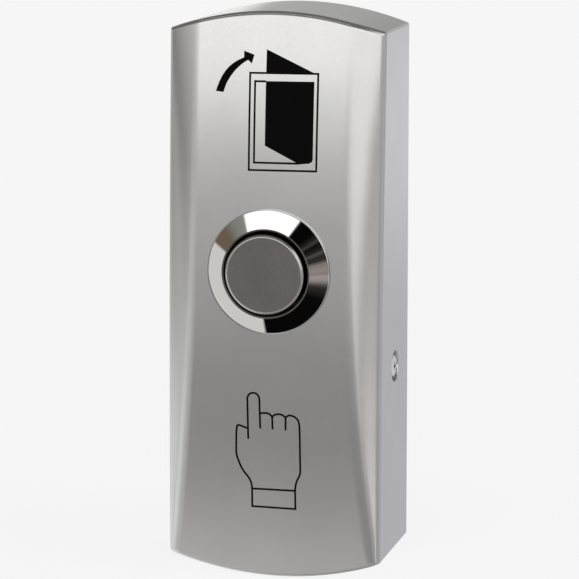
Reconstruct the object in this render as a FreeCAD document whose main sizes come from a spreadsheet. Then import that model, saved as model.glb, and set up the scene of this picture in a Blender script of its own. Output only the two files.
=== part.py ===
import FreeCAD, Part
import os
import re

import Sketcher

# Surface door exit button: a die-cast housing on a steel wall plate, with a metal push button.
# The origin is the middle of the wall face. +Z is up the wall, +X is right, and the front looks along -Y.
# A depth is a distance from the wall towards the front, so it lies at Y = -depth.
# A level is a height on the button's own axis above the seat of its bezel, positive towards the front.

SIZES = {
    # Housing, outside
    "housing_length": 83.0,
    "housing_width": 32.0,
    "end_sagitta": 2.9,
    "corner_radius": 1.0,
    "panel_depth_top": 16.7,
    "panel_depth_middle": 20.0,
    "panel_depth_bottom": 18.05,
    "side_depth_top": 14.75,
    "side_depth_middle": 16.85,
    "side_depth_bottom": 17.6,
    "band_width": 4.95,
    "band_end_width": 0.6,
    "flare_start": 22.0,
    "band_radius": 16.0,
    "crease_radius": 3.0,
    "rim_radius": 0.6,
    # Housing, inside
    "wall": 1.8,
    "rib_spread": 7.0,
    "rib_thickness": 1.4,
    "rib_reach": 3.2,
    "rib_foot": 1.6,
    "catch_length": 5.0,
    "catch_height": 1.4,
    "catch_reach": 1.3,
    "catch_depth": 5.0,
    # Wall plate
    "plate_thickness": 1.2,
    "plate_gap": 0.3,
    "bend_radius": 0.8,
    "tab_width": 9.0,
    "lock_tab_height": 11.5,
    "catch_tab_height": 8.0,
    "upper_tab_height": 22.0,
    "notch_width": 1.0,
    "window_margin": 0.4,
    "wall_slot_inset": 11.5,
    "wall_slot_width": 4.2,
    "wall_slot_length": 7.0,
    "cable_opening_width": 15.0,
    "cable_opening_drop": 8.0,
    "cable_opening_margin": 1.5,
    "cable_opening_corner": 2.0,
    # Lock screw in the right side
    "lock_drop": 11.05,
    "lock_depth": 8.15,
    "lock_hole_radius": 2.2,
    "lock_hole_bevel": 0.25,
    "lock_head_radius": 2.05,
    "lock_head_height": 1.4,
    "lock_head_recess": 0.6,
    "lock_thread_radius": 1.45,
    "lock_thread_length": 4.5,
    "lock_collar_radius": 2.4,
    "lock_collar_height": 1.0,
    "lock_slot_width": 0.6,
    "lock_slot_length": 2.7,
    "lock_slot_depth": 0.8,
    "screw_clearance": 0.05,
    # Push button head and barrel
    "button_height": 4.35,
    "seat_recess": 0.5,
    "bezel_radius": 9.0,
    "bezel_rim": 0.5,
    "bezel_height": 2.35,
    "bezel_lip": 0.2,
    "bore_radius": 6.25,
    "barrel_radius": 7.9,
    "barrel_length": 8.0,
    "barrel_clearance": 0.2,
    "web_level": 5.0,
    "web_thickness": 1.2,
    "socket_radius": 6.6,
    "seat_clearance": 0.15,
    "seal_radius": 8.5,
    "seal_height": 0.35,
    "pad_radius": 11.6,
    "pad_thickness": 2.4,
    "washer_thickness": 0.7,
    "washer_radius": 10.3,
    "washer_notch": 1.0,
    "washer_tooth": 1.3,
    "nut_thickness": 3.0,
    "nut_across_flats": 19.0,
    "nut_bevel": 0.8,
    # Plunger
    "travel": 1.5,
    "cap_radius": 5.8,
    "cap_rise": 0.8,
    "cap_edge": 0.35,
    "cap_length": 5.5,
    "cap_wall": 0.9,
    "cap_face": 1.0,
    "press_gap": 0.03,
    "stem_radius": 3.0,
    "stem_clearance": 0.05,
    "stem_flange": 1.25,
    "clip_radius": 4.4,
    "clip_thickness": 0.6,
    "clip_gap": 0.1,
    "clip_opening": 3.0,
    "groove_depth": 0.7,
    "spring_radius": 3.9,
    "spring_wire": 0.5,
    "spring_turns": 4.5,
    # Contact block
    "block_radius": 7.4,
    "block_wall": 1.0,
    "base_thickness": 2.2,
    "base_clearance": 0.05,
    "base_ledge": 0.6,
    "carrier_radius": 3.2,
    "carrier_head": 0.7,
    "carrier_neck_radius": 1.5,
    "carrier_foot_radius": 1.9,
    "carrier_foot": 0.4,
    "bridge_length": 9.4,
    "bridge_width": 3.2,
    "bridge_thickness": 0.4,
    "contact_spring_length": 1.4,
    "contact_spring_radius": 2.1,
    "contact_spring_wire": 0.3,
    "contact_spring_turns": 2.5,
    "contact_radius": 0.9,
    "contact_height": 0.35,
    "contact_overtravel_gap": 0.06,
    "terminal_pitch": 7.0,
    "terminal_radius": 1.7,
    "terminal_flange": 0.35,
    "terminal_flange_width": 0.25,
    "terminal_proud": 0.1,
    "clamp_side": 4.4,
    "clamp_thickness": 0.6,
    "terminal_screw_radius": 1.1,
    "terminal_screw_length": 2.3,
    "terminal_head_radius": 2.0,
    "terminal_head_height": 1.3,
    "barrier_thickness": 0.8,
    "barrier_length": 9.0,
    "barrier_height": 1.6,
}

WASHER_NOTCHES = 12

doc = FreeCAD.newDocument("DoorExitButton")
sheet = doc.addObject("Spreadsheet::Sheet", "Sizes")
for row, (alias, size) in enumerate(SIZES.items(), start=1):
    sheet.set(f"A{row}", alias.replace("_", " "))
    sheet.set(f"B{row}", str(size))
    sheet.setAlias(f"B{row}", alias)
doc.recompute()


# Formulas and sketches

def cells(formula):
    """A formula in which each word that names a size points at its cell."""
    return re.sub(r"[a-z][a-z_]*", lambda word: "Sizes." * (word.group() in SIZES) + word.group(), formula)


def value(formula):
    return float(sheet.evalExpression(cells(formula)))


def bind(obj, **formulas):
    for name, formula in formulas.items():
        obj.setExpression(name.replace("__", "."), cells(formula))


def origin_plane(body, role):
    return next(feature for feature in body.Origin.OriginFeatures if feature.Role == role)


def draw(body, name, role, corners, bends=None, offset="0"):
    """A closed outline through corners. bends gives, for each arc span, the point that it passes through."""
    bends = bends or {}
    sketch = body.newObject("Sketcher::SketchObject", name)
    sketch.AttachmentSupport = (origin_plane(body, role), "")
    sketch.MapMode = "FlatFace"
    bind(sketch, AttachmentOffset__Base__z=offset)
    spots = [FreeCAD.Vector(value(x), value(y)) for x, y in corners]
    spans = []
    for index, start in enumerate(spots):
        stop = spots[(index + 1) % len(spots)]
        if index in bends:
            through = FreeCAD.Vector(*(value(formula) for formula in bends[index]))
            span = sketch.addGeometry(Part.Arc(start, through, stop))
        else:
            span = sketch.addGeometry(Part.LineSegment(start, stop))
        first = 1 if sketch.getPoint(span, 1).distanceToPoint(start) < 1e-6 else 2
        spans.append((span, first, 3 - first))
    for (span, first, last), (after, after_first, _) in zip(spans, spans[1:] + spans[:1]):
        sketch.addConstraint(Sketcher.Constraint("Coincident", span, last, after, after_first))
    for (span, first, _), corner in zip(spans, corners):
        pin_point(sketch, span, first, corner)
    for index, through in bends.items():
        spot = FreeCAD.Vector(*(value(formula) for formula in through))
        mark = sketch.addGeometry(Part.Point(spot), True)
        sketch.addConstraint(Sketcher.Constraint("PointOnObject", mark, 1, spans[index][0]))
        pin_point(sketch, mark, 1, through)
    return sketch


def pin_point(sketch, span, end, place):
    """Hold a sketch point at its two formulas, or on an axis where a formula is 0."""
    for kind, formula, axis in zip(("DistanceX", "DistanceY"), place, (-2, -1)):
        if formula == "0":
            sketch.addConstraint(Sketcher.Constraint("PointOnObject", span, end, axis))
        else:
            held = sketch.addConstraint(Sketcher.Constraint(kind, -1, 1, span, end, value(formula)))
            sketch.setExpression(f"Constraints[{held}]", cells(formula))


def draw_circle(body, name, role, centre, radius, offset="0"):
    sketch = body.newObject("Sketcher::SketchObject", name)
    sketch.AttachmentSupport = (origin_plane(body, role), "")
    sketch.MapMode = "FlatFace"
    bind(sketch, AttachmentOffset__Base__z=offset)
    spot = FreeCAD.Vector(*(value(formula) for formula in centre))
    ring = sketch.addGeometry(Part.Circle(spot, FreeCAD.Vector(0, 0, 1), value(radius)))
    pin_point(sketch, ring, 3, centre)
    held = sketch.addConstraint(Sketcher.Constraint("Radius", ring, value(radius)))
    sketch.setExpression(f"Constraints[{held}]", cells(radius))
    return sketch


# Features and booleans

def new_body(name):
    body = doc.addObject("PartDesign::Body", name)
    body.Label = name
    return body


def pad(body, profile, length, both_ways=False):
    feature = body.newObject("PartDesign::Pad", profile.Name + "_pad")
    feature.Profile = profile
    feature.Midplane = both_ways
    bind(feature, Length=length)
    doc.recompute()
    return feature


def pocket(body, profile, both_ways=False, backwards=False):
    """Cut right through the body, and make sure that something was cut."""
    before = body.Shape.Volume
    feature = body.newObject("PartDesign::Pocket", profile.Name + "_pocket")
    feature.Profile = profile
    feature.Type = "ThroughAll"
    feature.Midplane = both_ways
    feature.Reversed = backwards
    doc.recompute()
    if not body.Shape.Volume < before:
        raise RuntimeError(profile.Name + " cuts nothing")
    return feature


def fillet(body, name, radius, chosen):
    """Round the edges whose middle point and length the rule chosen accepts."""
    base = body.Tip
    names = []
    for number, edge in enumerate(base.Shape.Edges, start=1):
        middle = edge.valueAt((edge.FirstParameter + edge.LastParameter) / 2)
        if chosen(middle, edge):
            names.append(f"Edge{number}")
    feature = body.newObject("PartDesign::Fillet", name)
    feature.Base = (base, names)
    bind(feature, Radius=radius)
    doc.recompute()
    return feature


def combine(kind, name, *pieces):
    """Join pieces in a MultiFuse, MultiCommon or Compound, or cut the first one by the rest."""
    made = doc.addObject(kind, name)
    made.Label = name
    if kind == "Part::Compound":
        made.Links = list(pieces)
    elif kind == "Part::Cut":
        tools = pieces[1:]
        made.Base = pieces[0]
        made.Tool = tools[0] if len(tools) == 1 else combine("Part::MultiFuse", name + "_tools", *tools)
    else:
        made.Shapes = list(pieces)
    doc.recompute()
    return made


def box(name, low, high):
    """A block between two corners, each given as formulas for X, Y and Z."""
    block = doc.addObject("Part::Box", name)
    bind(block, Length=f"({high[0]}) - ({low[0]})", Width=f"({high[1]}) - ({low[1]})",
         Height=f"({high[2]}) - ({low[2]})", Placement__Base__x=low[0], Placement__Base__y=low[1],
         Placement__Base__z=low[2])
    return block


SEAT_DEPTH = "(panel_depth_middle - seat_recess)"
FACING_FRONT = FreeCAD.Rotation(FreeCAD.Vector(1, 0, 0), 90)
FACING_RIGHT = FreeCAD.Rotation(FreeCAD.Vector(0, 1, 0), 90)


def on_button(piece, level="0", across="0", up="0"):
    """Stand a piece on the button's axis, with its own Z towards the front."""
    piece.Placement = FreeCAD.Placement(FreeCAD.Vector(), FACING_FRONT)
    bind(piece, Placement__Base__x=across, Placement__Base__y=f"-({SEAT_DEPTH} + ({level}))",
         Placement__Base__z=f"button_height + ({up})")
    return piece


def turned(name, corners, bends=None):
    """A turned piece from its half section, given as radius and height, about its own Z axis."""
    body = new_body(name)
    section = draw(body, name + "_section", "XZ_Plane", corners, bends)
    feature = body.newObject("PartDesign::Revolution", name + "_turning")
    feature.Profile = section
    feature.ReferenceAxis = (section, ["V_Axis"])
    feature.Angle = 360
    doc.recompute()
    return body


def rod(name, radius, length):
    cylinder = doc.addObject("Part::Cylinder", name)
    bind(cylinder, Radius=radius, Height=length)
    return cylinder


def block_on_button(name, length, width, height, level, across="0"):
    """A rectangular block centred on the button's axis, its back at a level."""
    piece = doc.addObject("Part::Box", name)
    bind(piece, Length=length, Width=width, Height=height)
    return on_button(piece, level, f"({across}) - ({length}) / 2", f"-({width}) / 2")


def coil(name, wire, radius, turns, foot, top):
    """A spring of round wire that stands between two levels on the button's axis."""
    body = new_body(name)
    start = (radius, f"({foot}) + {wire} / 2")
    section = draw_circle(body, name + "_wire", "XZ_Plane", start, f"{wire} / 2")
    feature = body.newObject("PartDesign::AdditiveHelix", name + "_coil")
    feature.Profile = section
    feature.ReferenceAxis = (section, ["V_Axis"])
    feature.Mode = "height-turns-angle"
    bind(feature, Height=f"({top}) - ({foot}) - {wire}", Turns=turns)
    doc.recompute()
    return on_button(body)


# Housing
# Die-cast shell, open at the back. Its front is crowned along its length between two side bands.
# The bands fall away from a soft crease to the side walls, and run out at the bottom corners.

def along(size, height):
    """The depth of a crowned line at a height, from its sizes at the top, middle and bottom."""
    share = f"(({height}) / (housing_length / 2))"
    return (f"({size}_middle + ({size}_top - {size}_bottom) / 2 * {share}"
            f" + (({size}_top + {size}_bottom) / 2 - {size}_middle) * {share}^2)")


def crease_at(height):
    """Half the panel's width at a height: the bands narrow towards the bottom end."""
    run = f"max(0; flare_start - ({height})) / (flare_start + housing_length / 2)"
    return f"(housing_width / 2 - band_width + (band_width - band_end_width) * ({run})^2)"


def end_outline(body, name, inset):
    half_width = f"(housing_width / 2 - {inset})"
    half_length = f"(housing_length / 2 - {inset})"
    shoulder = f"({half_length} - end_sagitta)"
    corners = [(half_width, f"-{shoulder}"), (half_width, shoulder),
               (f"-{half_width}", shoulder), (f"-{half_width}", f"-{shoulder}")]
    return draw(body, name, "XZ_Plane", corners, {1: ("0", half_length), 3: ("0", f"-{half_length}")})


def crowned_form(name, inset):
    """The housing's solid form, drawn in from the outside by an inset."""
    body = new_body(name)
    pad(body, end_outline(body, name + "_outline", inset), "panel_depth_middle + rim_radius")
    over = "(housing_length / 2 + rim_radius)"
    clear = "(panel_depth_middle + 2 * rim_radius)"
    crown = draw(body, name + "_crown", "YZ_Plane",
                 [(f"-({along('panel_depth', over)} - {inset})", over),
                  (f"-({along('panel_depth', '-' + over)} - {inset})", f"-{over}"),
                  (f"-{clear}", f"-{over}"), (f"-{clear}", over)],
                 {0: (f"-(panel_depth_middle - {inset})", "0")})
    pocket(body, crown, both_ways=True)
    sections = []
    stations = (f"-{over}", "-housing_length * 0.35", "-housing_length * 0.15", "flare_start / 3",
                "flare_start", over)
    for number, height in enumerate(stations):
        sections.append(band_section(body, f"{name}_band_{number}", height, inset))
    band = body.newObject("PartDesign::SubtractiveLoft", name + "_band")
    band.Profile = sections[0]
    band.Sections = sections[1:]
    doc.recompute()
    bands = body.newObject("PartDesign::Mirrored", name + "_bands")
    bands.Originals = [band]
    bands.MirrorPlane = (origin_plane(body, "YZ_Plane"), [""])
    body.Tip = bands
    doc.recompute()
    return body


def band_section(body, name, height, inset):
    """What a side band takes off at one height: a slightly convex line from the crease to the side wall."""
    edge = f"(housing_width / 2 - {inset})"
    crease = f"({crease_at(height)} - {inset} / 2)"
    crest = f"({along('panel_depth', height)} - {inset})"
    foot = f"({along('side_depth', height)} - {inset})"

    def band(x):
        fall = f"({x} - {crease}) * ({crest} - {foot}) / ({edge} - {crease})"
        swell = f"({x} - {crease}) * ({edge} - {x}) / (2 * band_radius)"
        return f"-({crest} - {fall} + {swell})"

    inner = f"({crease} - crease_radius / 2)"
    outer = f"({edge} + crease_radius / 2)"
    middle = f"(({crease} + {edge}) / 2)"
    clear = "-(panel_depth_middle + crease_radius)"
    corners = [(inner, band(inner)), (outer, band(outer)), (outer, clear), (inner, clear)]
    return draw(body, name, "XY_Plane", corners, {0: (middle, band(middle))}, offset=height)


def is_corner(middle, edge):
    flat = abs(abs(middle.x) - value("housing_width") / 2) < 1e-3
    past = abs(middle.z) > value("housing_length / 2 - end_sagitta") - 1e-3
    return flat and past and edge.BoundBox.YLength > value("side_depth_top / 2")


def is_crease(middle, edge):
    """The two long edges between the panel and the bands."""
    on_side = abs(abs(middle.x) - value("housing_width") / 2) < 1e-3
    return edge.BoundBox.ZLength > value("housing_length / 2") and not on_side


def is_rim(middle, edge):
    """Edges round the front, without the creases' own long edges and the corners' upright ones."""
    front = -middle.y > value("side_depth_top") - value("corner_radius + rim_radius")
    upright = edge.BoundBox.YLength > value("side_depth_top / 2")
    return front and not upright and not is_crease(middle, edge)


outer_form = crowned_form("outer_form", "0")
fillet(outer_form, "corner_rounds", "corner_radius", is_corner)
fillet(outer_form, "crease_rounds", "crease_radius", is_crease)
fillet(outer_form, "rim_rounds", "rim_radius", is_rim)
core = crowned_form("core", "wall")
shell = combine("Part::Cut", "shell", outer_form, core)

# Inside the shell: a flat pad round the button's hole, ribs at both ends and two catches on the left wall.
additions = [on_button(rod("nut_pad", "pad_radius", "pad_thickness - wall / 2"), "-pad_thickness")]
rib_root = "(housing_length / 2 - wall / 2 - end_sagitta * (rib_spread / (housing_width / 2))^2)"
rib_reaches = {"top": (f"{rib_root} - rib_reach", rib_root),
               "bottom": (f"-{rib_root}", f"-{rib_root} + rib_reach")}
for end, (low, high) in rib_reaches.items():
    ceiling = f"-(panel_depth_{end} - wall / 2)"
    for side, centre in (("left", "-rib_spread"), ("right", "rib_spread")):
        additions.append(box(f"{end}_{side}_rib", (f"{centre} - rib_thickness / 2", ceiling, low),
                             (f"{centre} + rib_thickness / 2", "-rib_foot", high)))
inner_face = "(housing_width / 2 - wall)"
catch_front = "-(catch_depth + catch_height / 2)"
catch_back = "-(catch_depth - catch_height / 2)"
CATCH_HEIGHTS = {"lower": "-lock_drop", "upper": "upper_tab_height"}
for name, height in CATCH_HEIGHTS.items():
    root = (f"-({inner_face} + wall / 2)", catch_front, f"{height} - catch_length / 2")
    tip = (f"-({inner_face} - catch_reach)", catch_back, f"{height} + catch_length / 2")
    additions.append(box(f"{name}_catch", root, tip))
ribbed_shell = combine("Part::MultiFuse", "ribbed_shell", shell, *additions)

button_hole = rod("button_hole", "barrel_radius + barrel_clearance", "2 * pad_thickness + bezel_height")
on_button(button_hole, "-2 * pad_thickness")
bezel_seat = on_button(rod("bezel_seat", "bezel_radius + seat_clearance", "bezel_height"))
nut_corner = "(nut_across_flats / sqrt(3))"
nut_room = on_button(rod("nut_room", f"{nut_corner} + seat_clearance", "washer_thickness + nut_thickness"),
                     "-(pad_thickness + washer_thickness + nut_thickness)")


def on_lock_axis(piece, x):
    """Lay a piece on the lock screw's axis, with its own Z towards the right."""
    piece.Placement = FreeCAD.Placement(FreeCAD.Vector(), FACING_RIGHT)
    bind(piece, Placement__Base__x=x, Placement__Base__y="-lock_depth", Placement__Base__z="-lock_drop")
    return piece


lock_hole = turned("lock_hole", [
    ("0", "0"), ("lock_hole_radius", "0"), ("lock_hole_radius", "2 * wall - lock_hole_bevel"),
    ("lock_hole_radius + 2 * lock_hole_bevel", "2 * wall + lock_hole_bevel"),
    ("0", "2 * wall + lock_hole_bevel")])
on_lock_axis(lock_hole, "housing_width / 2 - 2 * wall")
housing = combine("Part::Cut", "housing", ribbed_shell, button_hole, bezel_seat, nut_room, lock_hole)

# Wall plate
# Stamped steel. A tab on the right takes the lock screw, and two on the left hold the housing's catches.
back_plate = new_body("back_plate")
pad(back_plate, end_outline(back_plate, "plate_outline", "(wall + plate_gap)"), "plate_thickness")
plate_edge = "(housing_width / 2 - wall - plate_gap)"


def bent_tab(name, sign, height, reach):
    """Notch the plate's edge and raise a tab there, bent from the sheet."""
    inner = f"({plate_edge} - plate_thickness - 2 * bend_radius)"
    clear = f"({plate_edge} + wall)"
    below = f"{height} - (tab_width / 2 + notch_width)"
    above = f"{height} + (tab_width / 2 + notch_width)"
    notch = draw(back_plate, name + "_notch", "XZ_Plane",
                 [(f"{sign}{inner}", below), (f"{sign}{clear}", below),
                  (f"{sign}{clear}", above), (f"{sign}{inner}", above)])
    pocket(back_plate, notch, both_ways=True)
    outside = "(plate_thickness + bend_radius)"
    turn = "sqrt(0.5)"
    section = [(f"{sign}({inner} - notch_width)", "0"), (f"{sign}({plate_edge} - {outside})", "0"),
               (f"{sign}{plate_edge}", f"-{outside}"), (f"{sign}{plate_edge}", f"-{reach}"),
               (f"{sign}({plate_edge} - plate_thickness)", f"-{reach}"),
               (f"{sign}({plate_edge} - plate_thickness)", f"-{outside}"),
               (f"{sign}({plate_edge} - {outside})", "-plate_thickness"),
               (f"{sign}({inner} - notch_width)", "-plate_thickness")]
    bends = {1: (f"{sign}({plate_edge} - {outside} * (1 - {turn}))", f"-{outside} * (1 - {turn})"),
             5: (f"{sign}({plate_edge} - {outside} + bend_radius * {turn})",
                 f"-({outside} - bend_radius * {turn})")}
    profile = draw(back_plate, name, "XY_Plane", section, bends, offset=height)
    pad(back_plate, profile, "tab_width", both_ways=True)


bent_tab("lock_tab", "", "-lock_drop", "lock_tab_height")
for name, height in CATCH_HEIGHTS.items():
    bent_tab(f"{name}_tab", "-", height, "catch_tab_height")
    front = "-catch_depth - (catch_height / 2 + window_margin)"
    back = "-catch_depth + (catch_height / 2 + window_margin)"
    below = f"{height} - (catch_length / 2 + window_margin)"
    above = f"{height} + (catch_length / 2 + window_margin)"
    window = draw(back_plate, f"{name}_window", "YZ_Plane",
                  [(front, below), (back, below), (back, above), (front, above)])
    pocket(back_plate, window)
lock_centre = ("-lock_depth", "-lock_drop")
collar = draw_circle(back_plate, "lock_collar", "YZ_Plane", lock_centre, "lock_collar_radius",
                     offset=f"{plate_edge} - plate_thickness - lock_collar_height")
pad(back_plate, collar, "lock_collar_height + plate_thickness / 2")
thread = draw_circle(back_plate, "lock_thread", "YZ_Plane", lock_centre,
                     "lock_thread_radius + screw_clearance")
pocket(back_plate, thread, backwards=True)
for name, sign in (("upper", ""), ("lower", "-")):
    middle = f"{sign}(housing_length / 2 - wall_slot_inset)"
    half = "wall_slot_width / 2"
    below = f"{middle} - (wall_slot_length - wall_slot_width) / 2"
    above = f"{middle} + (wall_slot_length - wall_slot_width) / 2"
    ends = {1: ("0", f"{middle} + wall_slot_length / 2"), 3: ("0", f"{middle} - wall_slot_length / 2")}
    slot = draw(back_plate, f"{name}_wall_slot", "XZ_Plane",
                [(half, below), (half, above), (f"-{half}", above), (f"-{half}", below)], ends)
    pocket(back_plate, slot, both_ways=True)
lower_slot_top = "(wall_slot_inset - housing_length / 2 + wall_slot_length / 2)"
opening_foot = f"({lower_slot_top} + cable_opening_margin)"
opening_top = "-cable_opening_drop"
opening = draw(back_plate, "cable_opening", "XZ_Plane",
               [("-cable_opening_width / 2", opening_foot), ("cable_opening_width / 2", opening_foot),
                ("cable_opening_width / 2", opening_top), ("-cable_opening_width / 2", opening_top)])
pocket(back_plate, opening, both_ways=True)


def is_opening_corner(middle, edge):
    """Edges through the sheet at the cable opening's corners."""
    across = abs(abs(middle.x) - value("cable_opening_width") / 2) < 1e-3
    at_end = min(abs(middle.z - value(opening_foot)), abs(middle.z - value(opening_top))) < 1e-3
    return across and at_end and edge.BoundBox.YLength > value("plate_thickness") / 2


fillet(back_plate, "cable_opening_rounds", "cable_opening_corner", is_opening_corner)

# Lock screw
# Small round-headed screw with a cross recess. Its head stands in the hole of the housing's right wall.
# The head's dome falls with the square of the radius, so by a quarter of its rise at half the radius.
head_rim = "(lock_head_height - lock_head_recess / 2)"
screw_blank = turned("screw_blank", [
    ("0", "-lock_thread_length"), ("lock_thread_radius", "-lock_thread_length"),
    ("lock_thread_radius", "0"), ("lock_head_radius", "0"), ("lock_head_radius", head_rim),
    ("0", "lock_head_height")],
    {4: ("lock_head_radius / 2", "lock_head_height - lock_head_recess / 8")})
on_lock_axis(screw_blank, "housing_width / 2 - lock_head_recess - lock_head_height")
recess_floor = "housing_width / 2 - lock_head_recess - lock_slot_depth"
slots = []
for name, tall, wide in (("upright_slot", "lock_slot_length", "lock_slot_width"),
                         ("level_slot", "lock_slot_width", "lock_slot_length")):
    slots.append(box(name, (recess_floor, f"-lock_depth - {wide} / 2", f"-lock_drop - {tall} / 2"),
                     ("housing_width / 2", f"-lock_depth + {wide} / 2", f"-lock_drop + {tall} / 2")))
lock_screw = combine("Part::Cut", "lock_screw", screw_blank, *slots)

# Button barrel
# Turned from brass and plated: a conical bezel, a barrel for the nut, and a web that guides the stem.
web_foot = "(web_level + web_thickness)"
button_barrel = on_button(turned("button_barrel", [
    ("barrel_radius", "-barrel_length"), ("barrel_radius", "seal_height"), ("seal_radius", "seal_height"),
    ("seal_radius", "0"), ("bezel_radius", "0"), ("bezel_radius", "bezel_rim"),
    ("bore_radius + bezel_lip", "bezel_height"), ("bore_radius", "bezel_height - bezel_lip / 2"),
    ("bore_radius", "-web_level"), ("stem_radius + stem_clearance", "-web_level"),
    ("stem_radius + stem_clearance", f"-{web_foot}"), ("socket_radius", f"-{web_foot}"),
    ("socket_radius", "-barrel_length")]))

# Seal ring in the groove under the bezel, pressed flat on the housing.
seal_middle = "((barrel_radius + seal_radius) / 2)"
head_seal = on_button(turned("head_seal", [
    ("barrel_radius + press_gap", "0"), ("seal_radius - press_gap", "0"),
    ("seal_radius - press_gap", "seal_height / 2"), ("barrel_radius + press_gap", "seal_height / 2")],
    {2: (seal_middle, "seal_height")}))

# Toothed lock washer and hexagon nut behind the housing's pad.
washer_level = "-(pad_thickness + washer_thickness)"
lock_washer = turned("lock_washer", [
    ("barrel_radius + barrel_clearance", "0"), ("washer_radius", "0"),
    ("washer_radius", "washer_thickness"), ("barrel_radius + barrel_clearance", "washer_thickness")])
on_button(lock_washer, washer_level)
tooth_root = "washer_radius - washer_tooth"
past_tooth = "washer_radius + washer_tooth"
notch = draw(lock_washer, "washer_gap", "XY_Plane",
             [(tooth_root, "-washer_notch / 2"), (past_tooth, "-washer_notch / 2"),
              (past_tooth, "washer_notch / 2"), (tooth_root, "washer_notch / 2")])
gap = pocket(lock_washer, notch, both_ways=True)
teeth = lock_washer.newObject("PartDesign::PolarPattern", "washer_teeth")
teeth.Originals = [gap]
teeth.Axis = (origin_plane(lock_washer, "Z_Axis"), [""])
teeth.Angle = 360
teeth.Occurrences = WASHER_NOTCHES
lock_washer.Tip = teeth

nut_level = f"{washer_level} - nut_thickness"
nut_blank = turned("nut_blank", [
    ("barrel_radius + screw_clearance", "0"), ("nut_across_flats / 2", "0"),
    (nut_corner, "nut_bevel"), (nut_corner, "nut_thickness - nut_bevel"),
    ("nut_across_flats / 2", "nut_thickness"), ("barrel_radius + screw_clearance", "nut_thickness")])
on_button(nut_blank, nut_level)
nut_flats = doc.addObject("Part::Prism", "nut_flats")
nut_flats.Polygon = 6
bind(nut_flats, Circumradius=nut_corner, Height="nut_thickness")
on_button(nut_flats, nut_level)
hex_nut = combine("Part::MultiCommon", "hex_nut", nut_blank, nut_flats)

# Plunger
# Cap with a rounded edge, pressed over the flange of a turned stem. A ring under the web holds it in.
cap_top = "(bezel_height + cap_rise)"
cap_inside = f"({cap_top} - cap_face)"
cap_bore = "(cap_radius - cap_wall)"
quarter = "cap_edge * (1 - sqrt(0.5))"
plunger_cap = on_button(turned("plunger_cap", [
    ("0", cap_inside), (cap_bore, cap_inside), (cap_bore, f"{cap_top} - cap_length"),
    ("cap_radius", f"{cap_top} - cap_length"), ("cap_radius", f"{cap_top} - cap_edge"),
    ("cap_radius - cap_edge", cap_top), ("0", cap_top)],
    {4: (f"cap_radius - {quarter}", f"{cap_top} - {quarter}")}))

flange_foot = f"({cap_inside} - stem_flange)"
clip_top = f"(-{web_foot} - clip_gap)"
clip_foot = f"({clip_top} - clip_thickness)"
groove = "(stem_radius - groove_depth)"
plunger_stem = on_button(turned("plunger_stem", [
    ("0", "-barrel_length"), ("stem_radius", "-barrel_length"), ("stem_radius", clip_foot),
    (groove, clip_foot), (groove, clip_top), ("stem_radius", clip_top), ("stem_radius", flange_foot),
    (f"{cap_bore} - press_gap", flange_foot), (f"{cap_bore} - press_gap", cap_inside), ("0", cap_inside)]))

clip_ring = on_button(turned("clip_ring", [
    (f"{groove} + press_gap", "0"), ("clip_radius", "0"), ("clip_radius", "clip_thickness"),
    (f"{groove} + press_gap", "clip_thickness")]), clip_foot)
clip_mouth = block_on_button("clip_mouth", "clip_radius + press_gap", "clip_opening", "3 * clip_thickness",
                             f"{clip_foot} - clip_thickness", "(clip_radius + press_gap) / 2")
retaining_clip = combine("Part::Cut", "retaining_clip", clip_ring, clip_mouth)

return_spring = coil("return_spring", "spring_wire", "spring_radius", "spring_turns",
                     "-web_level", flange_foot)

# Contact carrier
# It hangs under the stem and holds the bridge up against its foot with a small spring.
carrier_shoulder = "(-barrel_length - carrier_head)"
bridge_top = f"({carrier_shoulder} - contact_spring_length)"
bridge_foot = f"({bridge_top} - bridge_thickness)"
contact_carrier = on_button(turned("contact_carrier", [
    ("0", f"{bridge_foot} - carrier_foot"), ("carrier_foot_radius", f"{bridge_foot} - carrier_foot"),
    ("carrier_foot_radius", bridge_foot), ("carrier_neck_radius", bridge_foot),
    ("carrier_neck_radius", carrier_shoulder), ("carrier_radius", carrier_shoulder),
    ("carrier_radius", "-barrel_length"), ("0", "-barrel_length")]))
contact_spring = coil("contact_spring", "contact_spring_wire", "contact_spring_radius",
                      "contact_spring_turns", bridge_top, carrier_shoulder)
bridge_strip = block_on_button("bridge_strip", "bridge_length", "bridge_width", "bridge_thickness",
                               bridge_foot)
bridge_hole = on_button(rod("bridge_hole", "carrier_neck_radius + screw_clearance", "3 * bridge_thickness"),
                        f"{bridge_foot} - bridge_thickness")
contact_bridge = combine("Part::Cut", "contact_bridge", bridge_strip, bridge_hole)

# Contact block
# Moulded case in the barrel's socket, closed by a base that carries two screw terminals.
# At full travel the moving contacts stop just short of the fixed ones, and that sets the depth of the base.
fixed_top = f"({bridge_foot} - contact_height - travel - contact_overtravel_gap)"
terminal_top = f"({fixed_top} - contact_height)"
base_top = f"({terminal_top} - terminal_flange)"
block_foot = f"({base_top} - base_thickness)"
spigot_top = f"(-{web_foot} - web_thickness / 3)"
chamber = "(socket_radius - block_wall)"
base_radius = f"({chamber} + base_ledge)"
contact_block = on_button(turned("contact_block", [
    (chamber, spigot_top), ("socket_radius - base_clearance", spigot_top),
    ("socket_radius - base_clearance", "-barrel_length"), ("block_radius", "-barrel_length"),
    ("block_radius", block_foot), (f"{base_radius} + base_clearance", block_foot),
    (f"{base_radius} + base_clearance", base_top), (chamber, base_top)]))

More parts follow.
